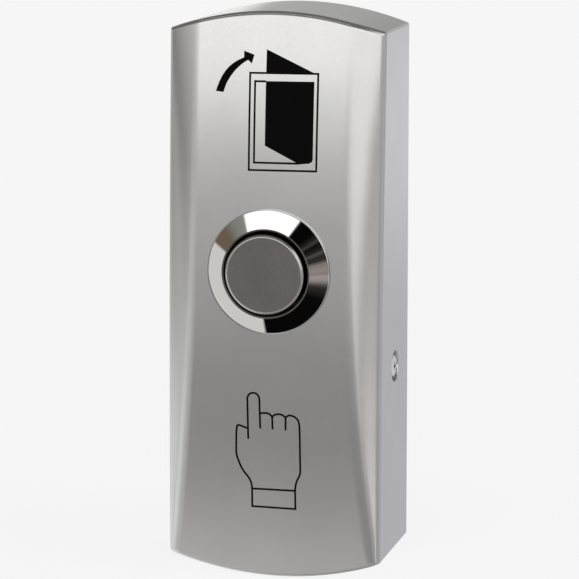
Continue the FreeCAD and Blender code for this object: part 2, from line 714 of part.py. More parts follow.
base_disc = on_button(turned("base_disc", [
    ("0", block_foot), (base_radius, block_foot), (base_radius, base_top), ("0", base_top)]))
barrier = block_on_button("barrier", "barrier_thickness", "barrier_length",
                          "barrier_height + base_thickness / 2", f"{block_foot} - barrier_height")
base_blank = combine("Part::MultiFuse", "base_blank", base_disc, barrier)
SIDES = {"left": "-terminal_pitch / 2", "right": "terminal_pitch / 2"}
post_holes = [on_button(rod(f"{side}_post_hole", "terminal_radius + base_clearance", "2 * base_thickness"),
                        f"{block_foot} - base_thickness / 2", across) for side, across in SIDES.items()]
contact_base = combine("Part::Cut", "contact_base", base_blank, *post_holes)

# Contact rivets, screw terminals, clamp plates and terminal screws, one of each on both sides.
post_foot = f"({block_foot} - terminal_proud)"
under_head = f"({post_foot} - clamp_thickness)"
head_foot = f"({under_head} - terminal_head_height)"
screw_tip = f"({under_head} + terminal_screw_length)"
moving_contacts = []
fixed_contacts = []
terminals = []
clamps = []
screws = []
for side, across in SIDES.items():
    moving_contacts.append(on_button(rod(f"{side}_moving_contact", "contact_radius", "contact_height"),
                                     f"{bridge_foot} - contact_height", across))
    fixed_contacts.append(on_button(rod(f"{side}_fixed_contact", "contact_radius", "contact_height"),
                                    terminal_top, across))
    terminals.append(on_button(turned(f"{side}_terminal", [
        ("0", f"{screw_tip} + screw_clearance"),
        ("terminal_screw_radius + screw_clearance", f"{screw_tip} + screw_clearance"),
        ("terminal_screw_radius + screw_clearance", post_foot), ("terminal_radius", post_foot),
        ("terminal_radius", base_top), ("terminal_radius + terminal_flange_width", base_top),
        ("terminal_radius + terminal_flange_width", terminal_top), ("0", terminal_top)]), across=across))
    plate = block_on_button(f"{side}_clamp_plate", "clamp_side", "clamp_side", "clamp_thickness",
                            under_head, across)
    hole = rod(f"{side}_clamp_hole", "terminal_screw_radius + 2 * screw_clearance", "3 * clamp_thickness")
    on_button(hole, f"{under_head} - clamp_thickness", across)
    clamps.append(combine("Part::Cut", f"{side}_clamp", plate, hole))
    blank = turned(f"{side}_screw_blank", [
        ("0", screw_tip), ("terminal_screw_radius", screw_tip), ("terminal_screw_radius", under_head),
        ("terminal_head_radius", under_head), ("terminal_head_radius", head_foot), ("0", head_foot)])
    on_button(blank, across=across)
    slot = block_on_button(f"{side}_screw_slot", "3 * terminal_head_radius", "lock_slot_width",
                           "terminal_head_height / 2 + screw_clearance",
                           f"{head_foot} - screw_clearance", across)
    screws.append(combine("Part::Cut", f"{side}_screw", blank, slot))
left_terminal, right_terminal = terminals
bridge_contacts = combine("Part::Compound", "bridge_contacts", *moving_contacts)
base_contacts = combine("Part::Compound", "base_contacts", *fixed_contacts)
terminal_clamps = combine("Part::Compound", "terminal_clamps", *clamps)
terminal_screws = combine("Part::Compound", "terminal_screws", *screws)

doc.recompute()

# Each sub-part is one node, and its label is the node's name.
NODES = (housing, back_plate, lock_screw,
         button_barrel, head_seal, lock_washer, hex_nut,
         plunger_cap, plunger_stem, retaining_clip, return_spring,
         contact_carrier, contact_spring, contact_bridge, bridge_contacts,
         contact_block, contact_base, base_contacts,
         left_terminal, right_terminal, terminal_clamps, terminal_screws)

for feature in doc.Objects:
    if "Invalid" in feature.State or "Error" in feature.State:
        raise RuntimeError(feature.Label + " failed")
for node in NODES:
    if node.Shape.isNull() or not node.Shape.isValid() or not node.Shape.Solids:
        raise RuntimeError(node.Label + " is not a valid solid")

os.makedirs("parts", exist_ok=True)
for node in NODES:
    node.Shape.exportStep(f"parts/{node.Label}.step")
    size = node.Shape.BoundBox
    print(f"{node.Label}: {len(node.Shape.Solids)} solids, {node.Shape.Volume:.1f} mm3, "
          f"X {size.XMin:.2f} {size.XMax:.2f}, Y {size.YMin:.2f} {size.YMax:.2f}, "
          f"Z {size.ZMin:.2f} {size.ZMax:.2f}")
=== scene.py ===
import math

import bmesh
import bpy
import numpy as np
from mathutils import Matrix, Vector


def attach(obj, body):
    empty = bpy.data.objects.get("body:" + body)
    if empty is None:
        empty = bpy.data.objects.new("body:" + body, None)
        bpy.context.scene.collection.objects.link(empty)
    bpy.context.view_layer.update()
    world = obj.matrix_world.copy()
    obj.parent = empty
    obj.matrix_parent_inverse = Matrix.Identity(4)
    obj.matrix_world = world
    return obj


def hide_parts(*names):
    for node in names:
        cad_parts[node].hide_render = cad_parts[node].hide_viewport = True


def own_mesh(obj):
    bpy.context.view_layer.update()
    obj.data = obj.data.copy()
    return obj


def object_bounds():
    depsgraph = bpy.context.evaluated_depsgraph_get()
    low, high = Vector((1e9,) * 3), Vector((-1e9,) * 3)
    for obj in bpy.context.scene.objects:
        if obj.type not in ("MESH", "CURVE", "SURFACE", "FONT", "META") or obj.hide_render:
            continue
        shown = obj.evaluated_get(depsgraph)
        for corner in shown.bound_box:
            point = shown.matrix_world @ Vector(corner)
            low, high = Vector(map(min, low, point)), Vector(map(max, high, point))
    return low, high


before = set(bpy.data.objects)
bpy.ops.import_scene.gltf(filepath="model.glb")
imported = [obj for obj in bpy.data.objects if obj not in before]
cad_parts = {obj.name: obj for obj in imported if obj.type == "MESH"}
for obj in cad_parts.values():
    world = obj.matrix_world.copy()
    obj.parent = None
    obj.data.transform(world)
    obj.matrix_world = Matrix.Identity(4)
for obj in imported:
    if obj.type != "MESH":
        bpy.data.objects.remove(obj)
cad_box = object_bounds()

# Studio
# A white room, a pale floor that takes a faint shadow, and soft light cards round the object.
# The camera stands a little above the button and to its right, half a metre from the wall.

MM = 0.001
BUTTON_HEIGHT, SEAT_DEPTH = 4.35, 19.5          # the bezel's seat, up the wall and off it
FOCAL_PIXELS, IMAGE_SIDE, SENSOR_WIDTH, CLIP_START = 2976.1, 579, 36.0, 0.01
CAMERA_YAW, CAMERA_PITCH, CAMERA_ROLL = -14.89, 10.70, 0.10
CAMERA_OFFSET = Vector((-2.13, -1.84, 446.92)) * MM


def rotation(degrees, axis):
    """A turn about an axis."""
    return Matrix.Rotation(math.radians(degrees), 3, axis)


def on_the_wall(sideways, upwards, outwards):
    """A direction or place given across, up and off the wall, in the frame."""
    return Vector((sideways, -outwards, upwards))


turn = rotation(CAMERA_ROLL, "Z") @ rotation(CAMERA_PITCH, "X") @ rotation(CAMERA_YAW, "Y")
camera = bpy.data.objects.new("camera", bpy.data.cameras.new("camera"))
bpy.context.scene.collection.objects.link(camera)
camera.data.sensor_width = SENSOR_WIDTH
camera.data.lens = FOCAL_PIXELS / IMAGE_SIDE * SENSOR_WIDTH
camera.data.clip_start = CLIP_START
stand = on_the_wall(*(turn.transposed() @ CAMERA_OFFSET))
axes = Matrix([on_the_wall(*row) for row in turn]).transposed()
camera.matrix_world = Matrix.Translation(stand) @ axes.to_4x4()
bpy.context.scene.camera = camera
bpy.context.scene.view_settings.view_transform = "Standard"


def add(tree, kind, *values, **settings):
    """A node of the tree. Its first inputs are given in order, each as a value or another node's socket.
    A named setting goes to the node itself, or else to the input of that name, with _ for a space."""
    node = tree.nodes.new(kind)
    named = {}
    for name, setting in settings.items():
        if hasattr(node, name):
            setattr(node, name, setting)
        else:
            named[name.replace("_", " ")] = setting
    sockets = [(node.inputs[i], value) for i, value in enumerate(values) if value is not None]
    sockets += [(node.inputs[name], value) for name, value in named.items()]
    for socket, value in sockets:
        if isinstance(value, bpy.types.NodeSocket):
            tree.links.new(value, socket)
        else:
            socket.default_value = value
    return node


def maths(tree, operation, *values):
    """The result of a maths node."""
    return add(tree, "ShaderNodeMath", *values, operation=operation).outputs[0]


def soft_step(tree, value, low, high):
    """Rises smoothly from 0 at low to 1 at high."""
    return add(tree, "ShaderNodeMapRange", value, low, high, 0.0, 1.0,
               interpolation_type="SMOOTHSTEP").outputs[0]


def blended(tree, share, first, second):
    """The first colour where the share is 0, and the second where it is 1."""
    mix = add(tree, "ShaderNodeMix", share, data_type="RGBA")
    for socket, colour in ((mix.inputs[6], first), (mix.inputs[7], second)):
        if isinstance(colour, bpy.types.NodeSocket):
            tree.links.new(colour, socket)
        else:
            socket.default_value = (*colour, 1.0)
    return mix.outputs[2]


def grey(level, tint):
    """A light's colour from its brightness and tint."""
    return tuple(level * channel for channel in tint)


# Each card: its left and right edges and their softness, its low and high edges and their softness, in
# degrees of the way that a surface faces which shows it to the camera, how far it leans to the right as
# it rises, and its brightness and tint.
PLAIN_LIGHT = 0.60
NEUTRAL, WARM, COOL = (1.0, 1.0, 1.0), (1.0, 0.985, 0.95), (0.955, 0.98, 1.0)
LILAC, BROWN, GREEN, ROSE = (0.93, 0.935, 1.0), (1.0, 0.74, 0.52), (1.0, 1.02, 0.90), (1.0, 0.87, 0.83)
CARDS = (
    (-180, 180, 1, -90, -25, 8, 0.0, 0.45, NEUTRAL),
    (-10, 35, 5.5, -40, 6.5, 1.3, -0.5, 0.51, NEUTRAL),
    (-6, 28, 4.5, -7.1, -0.3, 1.3, -0.5, 0.30, NEUTRAL),
    (-23, 9.5, 2.5, -18, -8.8, 1.6, 0.9, 1.00, WARM),
    (-15.5, 43, 11.5, 7.3, 45, 1.4, 0.2, 1.53, NEUTRAL),
    (33.5, 38.5, 2.2, -5.5, 8.9, 2.6, -1.0, 1.40, WARM),
    (26, 38.5, 5, 5, 13, 3.2, -0.6, 1.48, NEUTRAL),
    (41.5, 58, 3.2, -7, 5.6, 2, -1.1, 0.46, NEUTRAL),
    (-36, -15.5, 6.5, 0.5, 3.1, 1.7, 0.0, 0.82, NEUTRAL),
    (-43, -34, 5, 1.9, 10.3, 2.8, 0.8, 0.09, NEUTRAL),
    (-60, -24.5, 8, -60, -0.6, 1.4, -0.6, 1.08, COOL),
    (92, 100, 1, -1.8, 10.6, 3, 0.0, 1.15, LILAC),
    (70, 130, 4, -60, 0.9, 3, 0.0, 0.64, LILAC),
    (70, 89.5, 2, 2.5, 60, 2.8, 0.0, 0.52, LILAC),
    (97.5, 125, 2, -30, 30, 3, 0.0, 1.80, NEUTRAL),
    (-180, 180, 1, 60, 90, 6, 0.0, 0.50, NEUTRAL),
    (-130, -50, 8, 68, 84, 3, 0.0, 1.15, NEUTRAL),
    (-70, 23, 4, 17, 80, 4, 0.45, 0.19, NEUTRAL),
    (20, 62, 4, 32, 72, 5, 0.45, 0.22, NEUTRAL),
)
# What the polished bezel shows round its ring: degrees from its right side, turning to the top, and the
# brightness and tint there. The bezel's cone runs from its foot to its lip, each a radius and a level.
BEZEL_FOOT, BEZEL_LIP = (9.0, 0.5), (6.45, 2.35)
BEZEL_SLOPE = math.degrees(math.atan2(BEZEL_LIP[1] - BEZEL_FOOT[1], BEZEL_FOOT[0] - BEZEL_LIP[0]))
RING_REACH, RING_SOFT = 1.2, 0.4
RING_STOPS = (
    (0, 0.30, ROSE), (2, 0.24, ROSE), (4, 0.31, ROSE), (11, 0.24, ROSE), (15, 0.03, ROSE),
    (20, 0.03, ROSE), (22, 0.09, NEUTRAL), (25, 0.02, ROSE), (31, 0.004, NEUTRAL), (34, 0.05, NEUTRAL),
    (37, 0.015, NEUTRAL), (42, 0.002, NEUTRAL), (57.5, 0.002, NEUTRAL), (59, 1.25, NEUTRAL),
    (113, 1.25, NEUTRAL), (115, 0.27, GREEN), (127, 0.22, GREEN), (138, 0.16, BROWN), (152.5, 0.16, BROWN),
    (154.5, 0.68, WARM), (266, 0.70, WARM), (268, 0.002, NEUTRAL), (335, 0.003, NEUTRAL),
    (347, 0.03, ROSE), (350, 0.10, ROSE), (354, 0.30, ROSE), (357, 0.36, ROSE))

world = bpy.data.worlds.new("studio")
bpy.context.scene.world = world
world.use_nodes = True
tree = world.node_tree
tree.nodes.clear()
ray = add(tree, "ShaderNodeTexCoord").outputs["Generated"]
to_camera = (stand - on_the_wall(0, BUTTON_HEIGHT * MM, SEAT_DEPTH * MM)).normalized()
between = add(tree, "ShaderNodeVectorMath", ray, to_camera, operation="ADD").outputs[0]
facing = add(tree, "ShaderNodeVectorMath", between, operation="NORMALIZE").outputs[0]
face_x, face_y, face_z = add(tree, "ShaderNodeSeparateXYZ", facing).outputs
face_out = maths(tree, "MULTIPLY", face_y, -1.0)
bearing = maths(tree, "DEGREES", maths(tree, "ARCTAN2", face_x, face_out))
height = maths(tree, "DEGREES", maths(tree, "ARCSINE", face_z))
light = grey(PLAIN_LIGHT, NEUTRAL)
for left, right, soft_sides, low, high, soft_ends, lean, level, tint in CARDS:
    inside = 1.0
    upright = bearing
    if lean:
        upright = maths(tree, "SUBTRACT", bearing, maths(tree, "MULTIPLY", height, lean))
    for value, start, end, soft in ((upright, left, right, soft_sides), (height, low, high, soft_ends)):
        risen = soft_step(tree, value, start - soft, start + soft)
        fallen = soft_step(tree, value, end + soft, end - soft)
        inside = maths(tree, "MULTIPLY", inside, maths(tree, "MULTIPLY", risen, fallen))
    light = blended(tree, inside, light, grey(level, tint))
tilt = maths(tree, "DEGREES", maths(tree, "ARCCOSINE", face_out))
round_ring = maths(tree, "DIVIDE", maths(tree, "ARCTAN2", face_z, face_x), 2 * math.pi)
round_ring = maths(tree, "FRACT", round_ring)
off_ring = maths(tree, "ABSOLUTE", maths(tree, "SUBTRACT", tilt, BEZEL_SLOPE))
on_ring = soft_step(tree, off_ring, RING_REACH + RING_SOFT, RING_REACH - RING_SOFT)
ramp = add(tree, "ShaderNodeValToRGB", round_ring)
stops = ramp.color_ramp.elements
for index, (angle, level, tint) in enumerate(RING_STOPS):
    stop = stops[index] if index < len(stops) else stops.new(angle / 360)
    stop.position = angle / 360
    stop.color = (*grey(level, tint), 1.0)
light = blended(tree, on_ring, light, ramp.outputs["Color"])
WHITE = (1.0, 1.0, 1.0, 1.0)
studio = add(tree, "ShaderNodeBackground", light, 1.0).outputs[0]
white = add(tree, "ShaderNodeBackground", WHITE, 1.0).outputs[0]
seen = add(tree, "ShaderNodeLightPath").outputs["Is Camera Ray"]
room = add(tree, "ShaderNodeMixShader", seen, studio, white).outputs[0]
add(tree, "ShaderNodeOutputWorld", room)

FLOOR_SIDE, FLOOR_DROP = 4.0, 0.0003
SEEN_GREY, SEEN_GLOW, LIGHT_GREY = 0.34, 0.80, 0.80
floor_mesh = bpy.data.meshes.new("floor")
half, foot = FLOOR_SIDE / 2, cad_box[0].z - FLOOR_DROP
floor_corners = [(-half, -half, foot), (half, -half, foot), (half, half, foot), (-half, half, foot)]
floor_mesh.from_pydata(floor_corners, [], [(0, 1, 2, 3)])
floor = bpy.data.objects.new("floor", floor_mesh)
bpy.context.scene.collection.objects.link(floor)
floor.visible_glossy = False
pale = bpy.data.materials.new("pale_floor")
pale.use_nodes = True
tree = pale.node_tree
tree.nodes.clear()
matt = add(tree, "ShaderNodeBsdfDiffuse", (*grey(SEEN_GREY, NEUTRAL), 1.0)).outputs[0]
glow = add(tree, "ShaderNodeEmission", WHITE, SEEN_GLOW).outputs[0]
seen = add(tree, "ShaderNodeLightPath").outputs["Is Camera Ray"]
lit = add(tree, "ShaderNodeAddShader", matt, glow).outputs[0]
plain = add(tree, "ShaderNodeBsdfDiffuse", (*grey(LIGHT_GREY, NEUTRAL), 1.0)).outputs[0]
add(tree, "ShaderNodeOutputMaterial", add(tree, "ShaderNodeMixShader", seen, plain, lit).outputs[0])
floor_mesh.materials.append(pale)

# Housing
# Die-cast zinc shell, plated satin: a crowned front between two side bands that narrow towards the
# bottom corners. Its open back stands on the wall, and ribs and catches are cast inside.

HALF_WIDTH, HALF_LENGTH, END_SAGITTA, CORNER, CORE_CORNER = 16.0, 41.5, 2.9, 0.4, 0.01
PANEL_DEPTHS, SIDE_DEPTHS = (18.05, 20.0, 16.7), (17.6, 16.85, 14.75)      # bottom, middle, top
BAND_WIDTH, BAND_END_WIDTH, FLARE_START = 4.95, 0.6, 22.0
BAND_RADIUS, CREASE_RADIUS, CREASE_SHARE, RIM_RADIUS, WALL = 16.0, 3.0, 0.7, 0.6, 1.8
MERGED, ON_AXIS = 1e-7, 1e-6
# Where the front's rows and columns of points lie: their distances from the outline, their shares of the
# way to the crease, the spacing of the other rows, and their shares of the way down the wall.
RIM_STEPS = tuple(RIM_RADIUS * (1 - math.cos(math.radians(angle))) for angle in range(0, 91, 10))
PAST_RIM = (0.75, 1.0, 1.3, 1.65, 2.05, 2.5, 3.0, 3.5, 4.0, 4.45)
NEAR_CREASE = (1.0, 0.985, 0.97, 0.955, 0.94, 0.925, 0.91, 0.89, 0.87, 0.84)
IN_PANEL = (0.8, 0.7, 0.6, 0.5, 0.4, 0.3, 0.2, 0.1)
LAST_CLOSE_ROW, FIRST_ROW, ROW_SPACING, ROW_COUNT = 4.2, 4.4, 0.7, 53
DOWN_WALL, SETTLING_ROUNDS = (0.01, 0.25, 0.5, 0.75, 1.0), 8


def through(depths, z):
    """The smooth curve through a bottom, middle and top depth."""
    bottom, middle, top = depths
    share = z / HALF_LENGTH
    return middle + (top - bottom) / 2 * share + ((top + bottom) / 2 - middle) * share ** 2


def crease_at(z):
    """How far from the middle the crease between panel and side band runs."""
    run = np.clip((FLARE_START - z) / (FLARE_START + HALF_LENGTH), 0, None)
    return HALF_WIDTH - BAND_WIDTH + (BAND_WIDTH - BAND_END_WIDTH) * run ** 2


def front_depth(x, z):
    """How far the front stands off the wall: a flat panel, a soft crease and a rounded band each side."""
    crest, edge = through(PANEL_DEPTHS, z), through(SIDE_DEPTHS, z)
    crease = crease_at(z)
    band = HALF_WIDTH - crease
    slope = (crest - edge) / band - band / (2 * BAND_RADIUS)
    blend = np.minimum(CREASE_RADIUS * np.tan(np.arctan(slope) / 2), CREASE_SHARE * band)
    past = np.abs(x) - crease
    fall = np.where(past > blend, past, (np.clip(past + blend, 0, None)) ** 2 / (4 * blend))
    return crest - slope * fall - np.clip(past, 0, None) ** 2 / (2 * BAND_RADIUS)


def end_arc(half_width, half_length):
    """Radius and centre height of the arched end."""
    radius = (half_width ** 2 + END_SAGITTA ** 2) / (2 * END_SAGITTA)
    return radius, half_length - radius


def end_height(x, half_width, half_length, corner):
    """Half the length at a place across, with the corner rounded."""
    radius, centre = end_arc(half_width, half_length)
    x = np.abs(x)
    corner_x = half_width - corner
    corner_z = centre + math.sqrt((radius - corner) ** 2 - corner_x ** 2)
    meets = corner_x * radius / (radius - corner)
    arched = centre + np.sqrt(radius ** 2 - np.minimum(x, meets) ** 2)
    rounded = corner_z + np.sqrt(np.clip(corner ** 2 - (x - corner_x) ** 2, 0, None))
    return np.where(x > meets, rounded, arched)


def inside_outline(x, z):
    """Distance from the outline of the front, seen square on."""
    radius, centre = end_arc(HALF_WIDTH, HALF_LENGTH)
    x, z = np.abs(x), np.abs(z)
    corner_x = HALF_WIDTH - CORNER
    corner_z = centre + math.sqrt((radius - CORNER) ** 2 - corner_x ** 2)
    along = np.minimum(HALF_WIDTH - x, radius - np.hypot(x, z - centre))
    over, above = x - corner_x, z - corner_z
    in_corner = (over > 0) & (above > 0) & (over * (corner_z - centre) > above * corner_x)
    return np.where(in_corner, CORNER - np.hypot(over, above), along)


def rim_fall(gap):
    """How far the rounded rim falls below the front at a distance from the outline."""
    reach = np.clip(RIM_RADIUS - gap, 0, RIM_RADIUS)
    return RIM_RADIUS - np.sqrt(RIM_RADIUS ** 2 - reach ** 2)


def place(x, depth, z):
    """Points from across, off the wall and up, in millimetres, to the frame in metres."""
    return np.stack([np.asarray(x), -np.asarray(depth), np.asarray(z)], -1).reshape(-1, 3) * MM


def piece_from(name, points, faces, material=None):
    """A piece from its points in the frame and its faces, with its doubles merged."""
    mesh = bpy.data.meshes.new(name)
    mesh.from_pydata([tuple(point) for point in points], [], [tuple(face) for face in faces])
    work = bmesh.new()
    work.from_mesh(mesh)
    bmesh.ops.remove_doubles(work, verts=work.verts, dist=MERGED)
    bmesh.ops.recalc_face_normals(work, faces=work.faces)
    work.to_mesh(mesh)
    work.free()
    piece = bpy.data.objects.new(name, mesh)
    bpy.context.scene.collection.objects.link(piece)
    if material:
        mesh.materials.append(material)
    return piece


def smooth(piece, sharp_from=32.0):
    """Smooth faces, but for the edges that turn by more than the angle."""
    piece.data.shade_smooth()
    piece.data.set_sharp_from_angle(angle=math.radians(sharp_from))
    return piece


def settle(piece):
    """The piece's mesh with its modifiers worked in."""
    view = bpy.context.evaluated_depsgraph_get()
    mesh = bpy.data.meshes.new_from_object(piece.evaluated_get(view))
    piece.modifiers.clear()
    piece.data = mesh
    return piece


def cut_or_join(piece, tool, operation):
    """Cuts the tool's shape from the piece, or joins it to the piece."""
    modifier = piece.modifiers.new(operation, "BOOLEAN")
    modifier.operation, modifier.solver, modifier.object = operation, "EXACT", tool
    settle(piece)
    bpy.data.objects.remove(tool)
    return piece


def crowned_block(name, inset, foot):
    """A closed block under the crowned front, as long and wide as the shell, or smaller by the inset."""
    half_width, half_length = HALF_WIDTH - inset, HALF_LENGTH - inset
    outside = inset == 0
    from_rim = RIM_STEPS + PAST_RIM
    rows = [step / HALF_LENGTH for step in from_rim if step < LAST_CLOSE_ROW]
    rows += [(FIRST_ROW + step * ROW_SPACING) / HALF_LENGTH for step in range(ROW_COUNT)]
    rows = sorted(set([1 - row for row in rows] + [0.0]))
    rows = np.array([-row for row in rows[:0:-1]] + rows)
    sides = np.array([2 - step / BAND_WIDTH for step in from_rim] + list(NEAR_CREASE + IN_PANEL))
    sides = np.concatenate([-sides, [0.0], sides[::-1]])
    across, upward = np.meshgrid(sides, rows)
    z = upward * half_length
    for _ in range(SETTLING_ROUNDS):
        crease = crease_at(z) - inset / 2
        reach = np.abs(across)
        x = np.where(reach <= 1, reach * crease, crease + (reach - 1) * (half_width - crease))
        z = upward * end_height(x, half_width, half_length, CORNER if outside else CORE_CORNER)
    x = x * np.sign(across)
    depth = front_depth(x, z) - inset
    if outside:
        depth = depth - rim_fall(inside_outline(x, z))
    count_z, count_x = x.shape
    at = np.arange(x.size).reshape(count_z, count_x)
    faces = [(at[j, i], at[j, i + 1], at[j + 1, i + 1], at[j + 1, i])
             for j in range(count_z - 1) for i in range(count_x - 1)]
    rim = list(at[0, :-1]) + list(at[:-1, -1]) + list(at[-1, :0:-1]) + list(at[:0:-1, 0])
    points = place(x, depth, z)
    levels, ring = [points], rim
    flat_x, flat_z, flat_depth = x.ravel(), z.ravel(), depth.ravel()
    for step in DOWN_WALL:
        lower = flat_depth[rim] * (1 - step) + foot * step
        start = sum(len(level) for level in levels)
        levels.append(place(flat_x[rim], lower, flat_z[rim]))
        following = list(range(start, start + len(rim)))
        for i in range(len(rim)):
            j = (i + 1) % len(rim)
            faces.append((ring[j], ring[i], following[i], following[j]))
        ring = following
    faces.append(tuple(ring))
    return piece_from(name, np.concatenate(levels), faces)


def turned(name, profile, to_frame, steps=160, material=None):
    """A round piece: the closed profile of radius and level is turned about its axis."""
    angles = np.arange(steps) * 2 * math.pi / steps
    points, faces = [], []
    for radius, level in profile:
        for angle in angles:
            points.append((radius * math.cos(angle), radius * math.sin(angle), level))
    for row in range(len(profile)):
        below, above = row * steps, (row + 1) % len(profile) * steps
        if profile[row][0] < ON_AXIS and profile[(row + 1) % len(profile)][0] < ON_AXIS:
            continue
        for i in range(steps):
            j = (i + 1) % steps
            faces.append((below + i, below + j, above + j, above + i))
    points = np.array(points)
    return piece_from(name, to_frame(points) * MM, faces, material)


def on_button(points):
    """Points about the button's axis, with the level above the bezel's seat, to the frame."""
    return np.stack([points[:, 0], -(SEAT_DEPTH + points[:, 2]), BUTTON_HEIGHT + points[:, 1]], -1)


def block(name, low, high):
    """A box between two corners, each given across, off the wall and up."""
    (x0, d0, z0), (x1, d1, z1) = low, high
    corners = [(x, d, z) for x in (x0, x1) for d in (d0, d1) for z in (z0, z1)]
    points = place(*np.array(corners).T)
    faces = [(0, 1, 3, 2), (4, 6, 7, 5), (0, 4, 5, 1), (2, 3, 7, 6), (0, 2, 6, 4), (1, 5, 7, 3)]
    return piece_from(name, points, faces)


EVEN, NOISE_DETAIL, NOISE_RANGE = (1.0, 1.0, 1.0), 3.0, (0.3, 0.7)


def speckled(tree, scale, stretch=EVEN):
    """A fine noise in the piece's own coordinates, with its scale in spots to the millimetre."""
    place_of = add(tree, "ShaderNodeTexCoord").outputs["Object"]
    mapped = add(tree, "ShaderNodeMapping", place_of, Scale=stretch).outputs[0]
    noise = add(tree, "ShaderNodeTexNoise", Vector=mapped, Scale=scale / MM, Detail=NOISE_DETAIL)
    return noise.outputs["Fac"]


def finish(name, colour, roughness, metallic, grain=(3.0, 0.6), swing=0.05, spread=0.04, cloud=0.12,
           stretch=EVEN, second=None, shine=0.5):
    """A finish whose colour drifts slowly by the swing, to the second colour where there is one, with a
    roughness and a height that follow a fine grain. The grain is its spots to the millimetre and its
    height in thousandths of a millimetre, and the cloud is the drift's spots to the millimetre."""
    material = bpy.data.materials.new(name)
    material.use_nodes = True
    tree = material.node_tree
    shader = tree.nodes["Principled BSDF"]
    shader.inputs["Metallic"].default_value = metallic
    shader.inputs["Specular IOR Level"].default_value = shine
    drift = soft_step(tree, speckled(tree, cloud), *NOISE_RANGE)
    dark = tuple(channel * (1 - swing) for channel in colour)
    light = tuple(min(1.0, channel * (1 + swing)) for channel in (second or colour))
    tree.links.new(blended(tree, drift, dark, light), shader.inputs["Base Color"])
    spots, height = grain
    fine = speckled(tree, spots, stretch)
    rough = add(tree, "ShaderNodeMapRange", fine, *NOISE_RANGE, roughness - spread, roughness + spread)
    tree.links.new(rough.outputs[0], shader.inputs["Roughness"])
    bump = add(tree, "ShaderNodeBump", Strength=1.0, Distance=height * MM / 1000, Height=fine)
    tree.links.new(bump.outputs[0], shader.inputs["Normal"])
    return material


satin_casting = finish("satin_casting", (0.62, 0.615, 0.605), 0.22, 1.0, grain=(3.2, 0.35), swing=0.02,
                       spread=0.02)
CORE_FOOT, CUT_REACH = -2.0, 5

housing = crowned_block("housing_shell", 0.0, 0.0)
housing.data.materials.append(satin_casting)
cut_or_join(housing, crowned_block("core", WALL, CORE_FOOT), "DIFFERENCE")

PAD_RADIUS, PAD_BEVEL, PAD_LEVELS, HOLE_RADIUS, SEAT_RADIUS = 11.6, 0.3, (-2.4, -0.9), 8.1, 9.15
low, high = PAD_LEVELS
pad = turned("pad", [(0, low), (PAD_RADIUS - PAD_BEVEL, low), (PAD_RADIUS, low + PAD_BEVEL),
                     (PAD_RADIUS, high), (0, high)], on_button)
cut_or_join(housing, pad, "UNION")
RIB_SPREAD, RIB_THICKNESS, RIB_HEIGHTS, RIB_DEPTHS = 7.0, 1.4, (36.84, 40.04), (1.6, 15.6)
CATCH_HEIGHTS, CATCH_DEPTHS, CATCH_LENGTH, CATCH_ACROSS = (-11.05, 22.0), (4.3, 5.7), 5.0, (-15.1, -12.9)
for side in (-1, 1):
    across = side * RIB_SPREAD
    for end in (-1, 1):
        low, high = sorted(end * height for height in RIB_HEIGHTS)
        rib = block("rib", (across - RIB_THICKNESS / 2, RIB_DEPTHS[0], low),
                    (across + RIB_THICKNESS / 2, RIB_DEPTHS[1], high))
        cut_or_join(housing, rib, "UNION")
for height in CATCH_HEIGHTS:
    catch = block("catch", (CATCH_ACROSS[0], CATCH_DEPTHS[0], height - CATCH_LENGTH / 2),
                  (CATCH_ACROSS[1], CATCH_DEPTHS[1], height + CATCH_LENGTH / 2))
    cut_or_join(housing, catch, "UNION")
for name, radius, foot in (("hole", HOLE_RADIUS, -CUT_REACH), ("seat", SEAT_RADIUS, 0)):
    cutter = turned(name, [(0, foot), (radius, foot), (radius, CUT_REACH), (0, CUT_REACH)], on_button, 192)
    cut_or_join(housing, cutter, "DIFFERENCE")

LOCK_DEPTH, LOCK_HEIGHT, LOCK_RADIUS, LOCK_BORE = 8.15, -11.05, 2.2, 3.6
LOCK_BEVEL, BEVEL_MIDDLE = 0.25, (0.07, 0.1)


def on_lock_axis(points):
    """Points about the lock screw's axis, with the level out from the right wall's face, to the frame."""
    return np.stack([HALF_WIDTH + points[:, 2], points[:, 0] - LOCK_DEPTH, LOCK_HEIGHT + points[:, 1]], -1)


lock_hole = turned("lock_hole", [
    (0, -LOCK_BORE), (LOCK_RADIUS, -LOCK_BORE), (LOCK_RADIUS, -LOCK_BEVEL),
    (LOCK_RADIUS + BEVEL_MIDDLE[0], -BEVEL_MIDDLE[1]), (LOCK_RADIUS + 2 * LOCK_BEVEL, LOCK_BEVEL),
    (0, LOCK_BEVEL)], on_lock_axis, 96)
cut_or_join(housing, lock_hole, "DIFFERENCE")
housing.data.materials.clear()
housing.data.materials.append(satin_casting)
smooth(housing)
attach(housing, "case")
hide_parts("housing")

# Printed marks
# Two signs screen printed in black on the front: a door that swings open under an arrow, above the
# button, and a hand with a pointing finger, below it. The ink is a thin layer that follows the crown.

INK_HEIGHT, INK_ROOT, LINE_WIDTH, STRIP = 0.02, 0.03, 0.285, 1.2
LEAST_MITRE, CORNERS_TO_A_RUN, CUT_NEAR = 0.35, 2.01, 1e-6
black_print = finish("black_print", (0.004, 0.004, 0.004), 0.42, 0.0, grain=(6.0, 1.5), swing=0.12,
                     shine=0.03)


